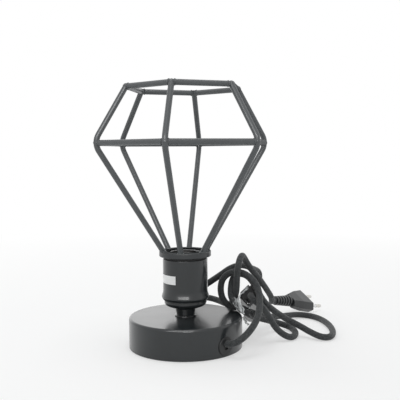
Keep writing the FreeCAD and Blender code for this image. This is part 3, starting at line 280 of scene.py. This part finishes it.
def make_braid():
    """Two sets of strands, over and under: the yarns' height, painted shade in the gaps between strands and
    each strand's tone.
    """
    tree, given, put = effect("braid", {"Place": "Vector"}, ["Height", "Gap_Shade", "Strand"])
    parts = add(tree, "SeparateXYZ", {"Vector": given["Place"]}).outputs
    one = sums(tree, "ADD", parts["X"], parts["Y"])
    other = sums(tree, "SUBTRACT", parts["X"], parts["Y"])
    crowns = []
    lines = []
    for way in (one, other):
        crowns.append(sums(tree, "ABSOLUTE", sums(tree, "SINE", sums(tree, "MULTIPLY", way, math.pi))))
        lines.append(sums(tree, "SINE", sums(tree, "MULTIPLY", way, FULL_TURN * YARNS_PER_STRAND)))
    crown = sums(tree, "MULTIPLY", crowns[0], crowns[1])
    steps = sums(tree, "ADD", sums(tree, "FLOOR", one), sums(tree, "FLOOR", other))
    first_on_top = sums(tree, "PINGPONG", steps, 1.0)
    wanted = {"Factor": first_on_top, **dict(zip(VALUE_ENDS, lines))}
    chosen = add(tree, "Mix", wanted, data_type="FLOAT").outputs[VALUE_RESULT]
    yarn = spread(tree, chosen, 0.0, 1.0, -1.0, 1.0)
    height = sums(tree, "ADD", sums(tree, "MULTIPLY", crown, 0.7), sums(tree, "MULTIPLY", yarn, 0.3))
    cell = {"X": sums(tree, "FLOOR", one), "Y": sums(tree, "FLOOR", other)}
    names = add(tree, "CombineXYZ", cell).outputs[0]
    strand = add(tree, "TexWhiteNoise", {"Vector": names}, noise_dimensions="3D").outputs["Value"]
    # Where the crowns are low, the gaps between strands get painted shade.
    gap_shade = spread(tree, crown, 1.0, 0.0, 0.0, 0.3)
    fill(tree, put, {"Height": height, "Gap_Shade": gap_shade, "Strand": strand})
    return tree


SKIN = make_skin()
DUST = make_dust()
BRAID = make_braid()

# Finishes.
DUST_COLOUR = (0.35, 0.34, 0.32)
DUST_ROUGHNESS = 0.15
YARN_TONES = ((0.028, 0.0312, 0.0328), (0.076, 0.082, 0.085))
# Near black for the gaps between strands: painted shade in the braid's hollows.
YARN_GAP_SHADE = (0.006, 0.0065, 0.007)
YARN_FUZZ = 5200.0
YARN_DEPTH = 0.12 * MM
METAL_GRAINS = (240.0, 2600.0)
TURNING_STRETCH = (0.05, 0.05, 1.0)
TURNING_DEPTH = 0.01 * MM
# The film's two tones are painted light: near black for painted shade over the dark cords, near white for a
# painted highlight.
FILM_SHADE_AND_HIGHLIGHT = ((0.018, 0.02, 0.0215), (0.86, 0.89, 0.9))
CREASE_STRETCH = (3.6, 2.2, 1.0)
CREASE_DEPTH = 0.3 * MM


def finish_start(name, **plain):
    """A new finish with its shader's plain values set, and the places that its patterns are read at."""
    made = bpy.data.materials.new(name)
    made.use_nodes = True
    tree = made.node_tree
    shader = tree.nodes["Principled BSDF"]
    for socket, setting in plain.items():
        shader.inputs[socket.replace("_", " ")].default_value = setting
    return made, tree, shader, add(tree, "TexCoord").outputs


def use(tree, group, **inputs):
    """One placed shader group, with its inputs linked or set."""
    return add(tree, "Group", inputs, node_tree=group).outputs


def bumped(tree, shader, height, depth, strength=1.0):
    """Turns a height into the shader's normal."""
    made = add(tree, "Bump", {"Height": height, "Distance": depth, "Strength": strength})
    tree.links.new(made.outputs["Normal"], shader.inputs["Normal"])


def skinned(name, tones, rough, grains, depth, dust=0.0, wear=0.06, dull_top=False, **plain):
    """A painted, moulded or worked surface, with the scales of its waves and grain and its depth in mm."""
    made, tree, shader, place = finish_start(name, **plain)
    skin = use(tree, SKIN, Place=place["Object"], Wave=grains[0], Grain=grains[1])
    colour = blended(tree, skin["Tone"], *tones)
    roughness = spread(tree, skin["Tone"], *rough)
    if dust:
        settled = use(tree, DUST, Place=place["Object"], Facing=place["Normal"])["Dust"]
        colour = blended(tree, sums(tree, "MULTIPLY", settled, dust), colour, DUST_COLOUR)
        dulled = sums(tree, "MULTIPLY", settled, DUST_ROUGHNESS)
        roughness = sums(tree, "ADD", roughness, dulled, clamp=True)
    worn = sums(tree, "SUBTRACT", roughness, sums(tree, "MULTIPLY", skin["Rubbed"], wear), clamp=True)
    if dull_top:
        up = add(tree, "SeparateXYZ", {"Vector": place["Normal"]}).outputs["Z"]
        worn = sums(tree, "ADD", worn, spread(tree, up, 0.0, 0.7, 0.75, 0.97), clamp=True)
    tree.links.new(colour, shader.inputs["Base Color"])
    tree.links.new(worn, shader.inputs["Roughness"])
    bumped(tree, shader, skin["Height"], depth * MM)
    return made


def braided(name):
    """Dark textile braid of a lamp cord."""
    plain = {"Sheen_Weight": 0.25, "Sheen_Roughness": 0.5, "Specular_IOR_Level": 0.3}
    made, tree, shader, place = finish_start(name, **plain)
    weave = use(tree, BRAID, Place=place["UV"])
    fuzz = grain(tree, place["Object"], YARN_FUZZ, 2.0, 0.7)
    strand = sums(tree, "MULTIPLY", weave["Strand"], 0.45)
    tone = sums(tree, "ADD", strand, sums(tree, "MULTIPLY", fuzz, 0.55))
    yarn = blended(tree, spread(tree, tone, 0.0, 1.0, 0.2, 0.8), *YARN_TONES)
    # The gaps between strands are drawn near black: painted shade in the braid's hollows.
    tree.links.new(blended(tree, weave["Gap_Shade"], yarn, YARN_GAP_SHADE), shader.inputs["Base Color"])
    tree.links.new(spread(tree, fuzz, 0.72, 0.92), shader.inputs["Roughness"])
    height = sums(tree, "ADD", weave["Height"], sums(tree, "MULTIPLY", fuzz, 0.3))
    bumped(tree, shader, height, YARN_DEPTH, 0.8)
    return made


def metal(name, tones, rough, line_scale=900.0):
    """Plated or bare metal with fine turning marks round the lamp's axis."""
    made, tree, shader, place = finish_start(name, Metallic=1.0)
    skin = use(tree, SKIN, Place=place["Object"], Wave=METAL_GRAINS[0], Grain=METAL_GRAINS[1])
    stretched = add(tree, "Mapping", {"Vector": place["Object"], "Scale": TURNING_STRETCH}).outputs[0]
    marks = grain(tree, stretched, line_scale, 3.0, 0.6)
    tree.links.new(blended(tree, skin["Tone"], *tones), shader.inputs["Base Color"])
    tree.links.new(spread(tree, marks, *rough, 0.3, 0.7), shader.inputs["Roughness"])
    height = sums(tree, "ADD", marks, sums(tree, "MULTIPLY", skin["Height"], 0.4))
    bumped(tree, shader, height, TURNING_DEPTH)
    return made


def clear_film(name):
    """Thin film with long creases, its colour painted light: painted shade over the dark cords and a painted
    highlight where a leaf catches the light.
    """
    made, tree, shader, place = finish_start(name, IOR=1.5, Specular_IOR_Level=0.6)
    stretched = add(tree, "Mapping", {"Vector": place["UV"], "Scale": CREASE_STRETCH}).outputs[0]
    crease = grain(tree, stretched, 1.0, 4.0, 0.65)
    # Each vertex's share of painted light, and the creases drawn lighter and darker as painted highlight and
    # painted shade.
    film_painted_light = add(tree, "Attribute", None, attribute_name="film_painted_light").outputs["Fac"]
    painted_light_share = sums(tree, "ADD", film_painted_light, spread(tree, crease, -0.8, 0.8, 0.28, 0.72), clamp=True)
    tree.links.new(blended(tree, painted_light_share, *FILM_SHADE_AND_HIGHLIGHT), shader.inputs["Base Color"])
    tree.links.new(spread(tree, crease, 0.1, 0.35), shader.inputs["Roughness"])
    tree.links.new(spread(tree, painted_light_share, 0.8, 0.95), shader.inputs["Alpha"])
    bumped(tree, shader, crease, CREASE_DEPTH)
    return made


PAINT = (620.0, 3000.0)
PLASTIC = (1500.0, 6000.0)
RUBBER = (900.0, 4000.0)
SKINS = {
    "black_coat": dict(tones=((0.0102, 0.013, 0.0148), (0.0155, 0.0195, 0.022)), rough=(0.28, 0.33),
                       grains=PAINT, depth=0.002, dust=0.01, wear=0.02, Specular_IOR_Level=0.3,
                       Coat_Weight=0.6, Coat_Roughness=0.16),
    "dark_washer": dict(tones=((0.004, 0.004, 0.0045), (0.009, 0.009, 0.009)), rough=(0.6, 0.8),
                        grains=RUBBER, depth=0.02),
    "black_plastic": dict(tones=((0.009, 0.0095, 0.0105), (0.017, 0.0178, 0.019)), rough=(0.38, 0.5),
                          grains=PLASTIC, depth=0.02, dust=0.03),
    "rocker_plastic": dict(tones=((0.006, 0.006, 0.007), (0.01, 0.01, 0.011)), rough=(0.5, 0.65),
                           grains=(500.0, 5000.0), depth=0.006, Specular_IOR_Level=0.1),
    # The ceramic is mid grey rather than white: painted shade on the insulator deep in the lampholder's
    # mouth.
    "ceramic": dict(tones=((0.4, 0.405, 0.41), (0.5, 0.505, 0.51)), rough=(0.3, 0.5), grains=(240.0, 1800.0),
                    depth=0.02, wear=0.1),
    "iron": dict(tones=((0.05, 0.05, 0.05), (0.12, 0.115, 0.11)), rough=(0.55, 0.8), grains=(500.0, 1800.0),
                 depth=0.15, Metallic=0.6),
    "felt": dict(tones=((0.008, 0.008, 0.009), (0.03, 0.03, 0.031)), rough=(0.85, 1.0),
                 grains=(1400.0, 4200.0), depth=0.2, Sheen_Weight=0.4),
    "lead_insulation": dict(tones=((0.16, 0.07, 0.035), (0.24, 0.11, 0.055)), rough=(0.3, 0.45),
                            grains=(600.0, 3000.0), depth=0.01),
    "sticker": dict(tones=((0.9, 0.91, 0.91), (0.95, 0.955, 0.955)), rough=(0.42, 0.58),
                    grains=(900.0, 4200.0), depth=0.008),
    "pin_sleeve": dict(tones=((0.88, 0.885, 0.89), (0.94, 0.945, 0.95)), rough=(0.35, 0.5), grains=RUBBER,
                       depth=0.01),
}
METALS = {
    "nickel": dict(tones=((0.56, 0.55, 0.52), (0.74, 0.73, 0.7)), rough=(0.16, 0.34)),
    "brass": dict(tones=((0.58, 0.42, 0.17), (0.8, 0.62, 0.3)), rough=(0.18, 0.36)),
    "steel": dict(tones=((0.4, 0.41, 0.42), (0.6, 0.61, 0.62)), rough=(0.28, 0.46), line_scale=500.0),
}
FINISHES = {slot: skinned(slot, **look) for slot, look in SKINS.items()}
FINISHES.update({slot: metal(slot, **look) for slot, look in METALS.items()})
FINISHES["braid"] = braided("braid")
FINISHES["film"] = clear_film("film")


def dress(piece, slot):
    """Gives a piece its finish and names the slot that it comes from."""
    piece.data.materials.clear()
    piece.data.materials.append(FINISHES[slot])
    return piece


for row in frame["record"]["subparts"]:
    dress(nodes[row["node"]], row["material_slot"])
dress(lamp_cord, "braid")
dress(plug_cord, "braid")

# Finishes that differ from the rest of their slot, and the nodes that have them.
OWN_SKINS = {
    # The cage's rods share the base's black paint but are drawn lighter: painted sheen on the thin rods.
    "cage_paint_painted_sheen": dict(tones=((0.061, 0.0675, 0.0715), (0.075, 0.083, 0.0875)), rough=(0.38, 0.44),
                      grains=PAINT, depth=0.001, wear=0.02, Coat_Weight=0.25, Coat_Roughness=0.2),
    # A darker, duller copy of the cage paint for two bars that face away from the light: painted shade.
    "cage_paint_painted_shade": dict(tones=((0.048, 0.0535, 0.057), (0.06, 0.067, 0.071)), rough=(0.6, 0.7), grains=PAINT,
                       depth=0.001, wear=0.02, Specular_IOR_Level=0.15),
    "collar_coat": dict(tones=((0.012, 0.015, 0.0168), (0.018, 0.022, 0.0245)), rough=(0.3, 0.36),
                        grains=PAINT, depth=0.003, wear=0.02, dull_top=True, Specular_IOR_Level=0.6),
    "dull_sleeve": dict(tones=((0.016, 0.0175, 0.0185), (0.024, 0.026, 0.027)), rough=(0.8, 0.95),
                        grains=RUBBER, depth=0.01, Specular_IOR_Level=0.0),
    "switch_plastic": dict(tones=((0.004, 0.0042, 0.005), (0.008, 0.0084, 0.0095)), rough=(0.3, 0.42),
                           grains=PLASTIC, depth=0.01, Specular_IOR_Level=0.18),
    "plug_plastic": dict(tones=((0.02, 0.0222, 0.0235), (0.03, 0.033, 0.0345)), rough=(0.3, 0.42),
                         grains=PLASTIC, depth=0.015, Coat_Weight=0.3, Coat_Roughness=0.25),
    # Near black nickel for the thread deep in the lampholder's mouth: painted shade.
    "painted_shade_nickel": dict(tones=((0.05, 0.05, 0.05), (0.1, 0.1, 0.098)), rough=(0.4, 0.6), grains=RUBBER,
                          depth=0.01, Metallic=0.8),
}
OWN_FINISHES = {name: skinned(name, **look) for name, look in OWN_SKINS.items()}
WEARERS = {
    "cage_paint_painted_sheen": [name for name in nodes if name.startswith(("cage_rib", "cage_waist", "cage_top"))],
    # These two bars get painted shade.
    "cage_paint_painted_shade": ["cage_top_bar_6", "cage_waist_bar_6"],
    "collar_coat": ["cage_collar"],
    "dull_sleeve": ["holder_sleeve"],
    "switch_plastic": ["switch_lower", "switch_upper"],
    "plug_plastic": ["plug_body", "plug_relief"],
}
for finish, names in WEARERS.items():
    for name in names:
        nodes[name].data.materials[0] = OWN_FINISHES[finish]


def spun(work, geom, steps, **more):
    """Spins a line of vertices and edges once round the Z axis."""
    bmesh.ops.spin(work, geom=geom, cent=(0, 0, 0), axis=(0, 0, 1), angle=FULL_TURN, steps=steps, **more)


def finished(name, work, smooth=True):
    """An object from a bmesh, with its normals outward."""
    bmesh.ops.recalc_face_normals(work, faces=work.faces)
    for face in work.faces:
        face.smooth = smooth
    mesh = bpy.data.meshes.new(name)
    work.to_mesh(mesh)
    work.free()
    return linked(name, mesh)


# Screw thread of the lampholder, a thin rolled shell with a round thread in place of the plain one.
THREAD_PITCH = 3.62 * MM
THREAD_MIDDLE = 13.15 * MM
THREAD_WAVE = 0.42 * MM
THREAD_FOOT = 71.0 * MM
THREAD_TOP = 93.2 * MM
THREAD_WALL = 0.3 * MM
THREAD_STEPS = 96
THREAD_TURNS = 9
THREAD_LEAD_IN = 1.5
THREAD_JOIN = 0.002 * MM
POINTS_PER_PITCH = 12


def rolled_thread():
    """The screw shell, spun from a wavy line that climbs one pitch in a turn and is cut at both ends."""
    shell = bmesh.new()
    spots = []
    for number in range(POINTS_PER_PITCH * THREAD_TURNS):
        turned = FULL_TURN * number / POINTS_PER_PITCH
        height = THREAD_FOOT + THREAD_PITCH * (number / POINTS_PER_PITCH - THREAD_LEAD_IN)
        spots.append(shell.verts.new((THREAD_MIDDLE + THREAD_WAVE * math.cos(turned), 0.0, height)))
    lines = [shell.edges.new(pair) for pair in zip(spots, spots[1:])]
    climb = (0, 0, THREAD_PITCH / THREAD_STEPS)
    spun(shell, spots + lines, THREAD_STEPS, dvec=climb, use_merge=False)
    bmesh.ops.remove_doubles(shell, verts=shell.verts, dist=THREAD_JOIN)
    for height, way in ((THREAD_FOOT, -1), (THREAD_TOP, 1)):
        everything = shell.verts[:] + shell.edges[:] + shell.faces[:]
        bmesh.ops.bisect_plane(shell, geom=everything, plane_co=(0, 0, height), plane_no=(0, 0, way),
                               clear_outer=True)
    bmesh.ops.recalc_face_normals(shell, faces=shell.faces)
    bmesh.ops.solidify(shell, geom=shell.faces[:], thickness=THREAD_WALL)
    piece = finished("holder_thread", shell)
    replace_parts(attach(piece, "lamp"), "thread_shell")
    return dress(piece, "nickel")


thread = rolled_thread()
# The thread gets near black nickel: painted shade inside the lampholder's mouth.
thread.data.materials[0] = OWN_FINISHES["painted_shade_nickel"]

# Ring at the foot of the neck, where it stands on the base, by radii and heights in millimetres.
FOOT_RING = ((8.4, 30.0), (10.6, 30.0), (10.6, 30.7), (10.2, 31.3), (9.4, 31.5), (8.4, 31.5))
RING_STEPS = 96


def turned_ring(name, outline, slot):
    """A ring turned round the lamp's axis from a closed outline of radii and heights."""
    work = bmesh.new()
    spots = [work.verts.new((radius * MM, 0.0, height * MM)) for radius, height in outline]
    lines = [work.edges.new(pair) for pair in zip(spots, spots[1:] + spots[:1])]
    spun(work, spots + lines, RING_STEPS, use_merge=True)
    return dress(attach(finished(name, work), "lamp"), slot)


turned_ring("neck_foot", FOOT_RING, "black_coat")

# Welds of the cage: a knob at each corner of its two rings, and a bead where each rib stands on the collar.
RIB_COUNT = 6
CAGE_TURN = math.radians(20.46)
CAGE_RINGS = ((86.3 * MM, 200.5 * MM, 3.1 * MM), (57.4 * MM, 253.5 * MM, 3.0 * MM))
BAR_RADIUS = 2.75 * MM
BAR_WAY = math.radians(120)
RIB_FOOT = (22.4 * MM, 0.0, 95.0 * MM)
RIB_LEAN = math.radians(32.2)
WELD_THICK = 0.5 * MM
WELD_AT = 3.1 * MM
WELD_SIDES = 10
WELD_STEPS = 30
LUMP_SCALE = 620
LUMP_DEPTH = 0.22 * MM


def weld_ring(work, place, longer=1.0):
    """A bead round a rod that stands at the place's own Z axis, longer along its X axis."""
    before = set(work.verts)
    upright = Matrix.Translation((BAR_RADIUS, 0, 0)) @ Matrix.Rotation(QUARTER_TURN, 4, "X")
    made = bmesh.ops.create_circle(work, segments=WELD_SIDES, radius=WELD_THICK, matrix=upright)
    edges = dict.fromkeys(edge for vert in made["verts"] for edge in vert.link_edges)
    spun(work, made["verts"] + list(edges), WELD_STEPS, use_merge=True)
    fresh = [vert for vert in work.verts if vert not in before]
    bmesh.ops.transform(work, verts=fresh, matrix=place @ Matrix.Diagonal((longer, 1.0, 1.0, 1.0)))


def cage_welds():
    """All the cage's welds as one lumpy piece."""
    work = bmesh.new()
    for number in range(RIB_COUNT):
        here = Matrix.Rotation(CAGE_TURN + number * FULL_TURN / RIB_COUNT, 4, "Z")
        for radius, height, knob in CAGE_RINGS:
            corner = here @ Matrix.Translation((radius, 0, height))
            bmesh.ops.create_icosphere(work, subdivisions=3, radius=knob, matrix=corner)
            for way in (1, -1):
                along = Matrix.Rotation(way * BAR_WAY, 4, "Z") @ Matrix.Translation((WELD_AT, 0, 0))
                weld_ring(work, corner @ along @ Matrix.Rotation(QUARTER_TURN, 4, "Y"))
        weld_ring(work, here @ Matrix.Translation(RIB_FOOT), 1 / math.cos(RIB_LEAN))
    for vert in work.verts:
        vert.co += noise.noise_vector(vert.co * LUMP_SCALE, noise_basis="PERLIN_ORIGINAL") * LUMP_DEPTH
    piece = finished("cage_welds", work)
    dress(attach(piece, "cage"), "black_coat")
    # The welds take the rods' lighter paint, with its painted sheen.
    piece.data.materials[0] = OWN_FINISHES["cage_paint_painted_sheen"]


cage_welds()

# Film tie: leaves by their two edges in mm, how far the middle stands out and each edge's share of painted
# light, low for painted shade and high for a painted highlight.
WRAP_BACK = [(58.5, 24.5, 34.5), (61.0, 27.5, 32.0), (63.5, 31.0, 29.5)]
WRAP_FRONT = [(61.0, 11.5, 27.5), (64.0, 14.0, 25.0), (67.0, 16.5, 23.0)]
FILM_LEAVES = [
    ([(45.5, 3.0, 46.5), (46.5, 2.0, 41.5), (48.5, 2.0, 37.0), (52.0, 2.0, 33.0), (54.0, 2.5, 30.5)],
     [(53.5, 5.5, 46.5), (54.5, 4.0, 42.0), (56.5, 3.0, 38.0), (58.0, 2.5, 34.0), (58.5, 2.5, 30.5)],
     1.2, (0.1, 0.95)),
    ([(52.0, 8.5, 45.5), (55.0, 8.0, 49.0), (58.0, 8.0, 53.0), (61.0, 8.0, 56.5)],
     [(53.5, 8.0, 44.5), (56.0, 8.0, 48.0), (59.0, 7.5, 52.0), (62.5, 7.5, 55.5)],
     0.3, (0.9, 0.8)),
    ([(61.5, 0.5, 38.5), (63.5, -0.5, 41.0), (65.5, -1.0, 42.5)],
     [(62.5, 0.5, 37.0), (65.0, -0.5, 39.0), (66.5, -1.0, 41.0)],
     0.6, (0.1, 0.0)),
    ([(57.0, 11.0, 25.5), (58.0, 10.5, 22.5), (60.0, 10.5, 19.0), (63.0, 11.0, 16.0)],
     [(59.0, 11.0, 27.0), (60.0, 10.5, 24.0), (62.0, 10.5, 20.5), (64.5, 11.0, 17.5)],
     0.6, (0.7, 0.3)),
    ([(54.5, 12.5, 44.5), (55.5, 13.0, 38.0), (56.5, 13.5, 32.5), (57.0, 13.5, 27.0), (59.5, 14.0, 22.5),
      (65.0, 14.5, 18.5)],
     [(62.5, 13.5, 43.0), (70.5, 13.5, 38.0), (72.5, 14.0, 32.5), (73.0, 14.5, 27.0), (73.0, 14.5, 22.0),
      (72.0, 15.0, 18.5)],
     0.8, (-0.3, -0.5)),
    (WRAP_BACK, WRAP_FRONT, -4.6, (-0.3, -0.2)),
    (WRAP_BACK, WRAP_FRONT, 4.4, (-0.3, -0.2)),
]
FILM_ACROSS = 12
FILM_ALONG = 30
LEAF_APART = 2
CREASE_SCALE = 0.3
CREASE_REACH = 1.2
FOLD_SCALE = 0.7
FOLD_REACH = 0.6


def on_line(spots, share):
    """A place along a line of stations, from 0 at its start to 1 at its end."""
    reach = share * (len(spots) - 1)
    number = min(int(reach), len(spots) - 2)
    return Vector(spots[number]).lerp(Vector(spots[number + 1]), reach - number)


def film_tie():
    """The leaves of film as one creased piece, with each vertex's share of painted light."""
    film = bmesh.new()
    layer = film.loops.layers.uv.verify()
    film_painted_light = film.verts.layers.float.new("film_painted_light")
    for number, (left, right, stand, painted_light_ends) in enumerate(FILM_LEAVES):
        made = bmesh.ops.create_grid(film, x_segments=FILM_ACROSS, y_segments=FILM_ALONG, size=0.5)
        faces = {face for vert in made["verts"] for face in vert.link_faces}
        for face in faces:
            for loop in face.loops:
                loop[layer].uv = (loop.vert.co.x + 0.5, loop.vert.co.y + 0.5 + LEAF_APART * number)
        for vert in made["verts"]:
            across = vert.co.x + 0.5
            along = vert.co.y + 0.5
            spot = on_line(left, along).lerp(on_line(right, along), across)
            spot.y -= stand * math.sin(math.pi * across)
            # Painted light across the leaf, from one edge's share to the other's.
            vert[film_painted_light] = painted_light_ends[0] + (painted_light_ends[1] - painted_light_ends[0]) * across
            creased = noise.noise_vector(spot * CREASE_SCALE, noise_basis="PERLIN_ORIGINAL")
            folded = noise.noise_vector(spot * FOLD_SCALE, noise_basis="VORONOI_F1")
            vert.co = (spot + creased * CREASE_REACH + folded * FOLD_REACH) * MM
    bmesh.ops.triangulate(film, faces=film.faces, quad_method="SHORT_EDGE")
    piece = finished("film_tie", film, smooth=False)
    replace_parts(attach(piece, "lamp"), "cord_tie")
    return dress(piece, "film")


tie = film_tie()

# Stage: a table top that fades into a white background, two soft lights, and two that are only mirrored.
WHITE = (1.0, 1.0, 1.0, 1.0)
TABLE_COLOUR = (0.93, 0.94, 0.94, 1.0)
FLOOR_RADIUS = 4.0
FLOOR_SIDES = 128
FADE_START = 0.25
FADE_END = 0.95
FADE_NEAR = 0.48
DAYLIGHT = 0.62


def seen_rays(tree):
    """1 for rays that are seen, mirrored or refracted, and 0 for those that only bring light."""
    path = add(tree, "LightPath").outputs
    mirrored = sums(tree, "MAXIMUM", path["Is Glossy Ray"], path["Is Transmission Ray"])
    return sums(tree, "MAXIMUM", path["Is Camera Ray"], mirrored)


def make_floor():
    """The table top, seen as half matt and half glowing near the lamp and as all glowing further off."""
    disc = bmesh.new()
    bmesh.ops.create_circle(disc, cap_ends=True, segments=FLOOR_SIDES, radius=FLOOR_RADIUS)
    mesh = bpy.data.meshes.new("floor")
    disc.to_mesh(mesh)
    disc.free()
    floor = linked("floor", mesh)
    made = bpy.data.materials.new("table_top")
    made.use_nodes = True
    tree = made.node_tree
    tree.nodes.clear()
    place = add(tree, "TexCoord").outputs["Object"]
    away = add(tree, "VectorMath", {0: place}, operation="LENGTH").outputs["Value"]
    far = spread(tree, away, FADE_NEAR, 1.0, FADE_START, FADE_END)
    share = sums(tree, "MULTIPLY", far, seen_rays(tree))
    matt = add(tree, "BsdfDiffuse", {"Color": TABLE_COLOUR}).outputs[0]
    glow = add(tree, "Emission", {"Color": WHITE, "Strength": 1.0}).outputs[0]
    mixed = add(tree, "MixShader", {0: share, 1: matt, 2: glow}).outputs[0]
    add(tree, "OutputMaterial", {"Surface": mixed})
    mesh.materials.append(made)


def make_world():
    """A background that is seen as white and gives less light than that."""
    world = bpy.data.worlds.new("studio")
    scene.world = world
    world.use_nodes = True
    tree = world.node_tree
    tree.nodes.clear()
    strength = spread(tree, seen_rays(tree), DAYLIGHT, 1.0)
    glow = add(tree, "Background", {"Color": WHITE, "Strength": strength}).outputs[0]
    add(tree, "OutputWorld", {"Surface": glow})


def soft_light(name, place, aim, size, power, on_matt=True, on_gloss=True):
    """An area light that the camera doesn't see."""
    data = bpy.data.lights.new(name, "AREA")
    data.shape = "RECTANGLE"
    data.size, data.size_y = size
    data.energy = power
    made = linked(name, data)
    turn = (Vector(aim) - Vector(place)).to_track_quat("-Z", "Y").to_matrix().to_4x4()
    made.matrix_world = Matrix.Translation(place) @ turn
    made.visible_camera = False
    made.visible_diffuse = on_matt
    made.visible_glossy = on_gloss


make_floor()
make_world()
soft_light("overhead", place=(-0.03, -0.05, 1.3), aim=(-0.03, -0.05, 0.0), size=(0.6, 0.6), power=4.6)
soft_light("left_behind", place=(-1.4, 1.5, 0.75), aim=(0.0, 0.0, 0.1), size=(1.8, 1.4), power=13.0,
           on_gloss=False)
soft_light("left_screen", place=(-0.88, 1.9, 0.55), aim=(0.0, 0.0, 0.1), size=(1.75, 1.1), power=3.0,
           on_matt=False)
soft_light("front_gleam", place=(-0.24, -1.5, 0.85), aim=(0.0, 0.0, 0.05), size=(1.5, 0.35), power=20.0,
           on_matt=False)

scene.view_settings.view_transform = "Standard"
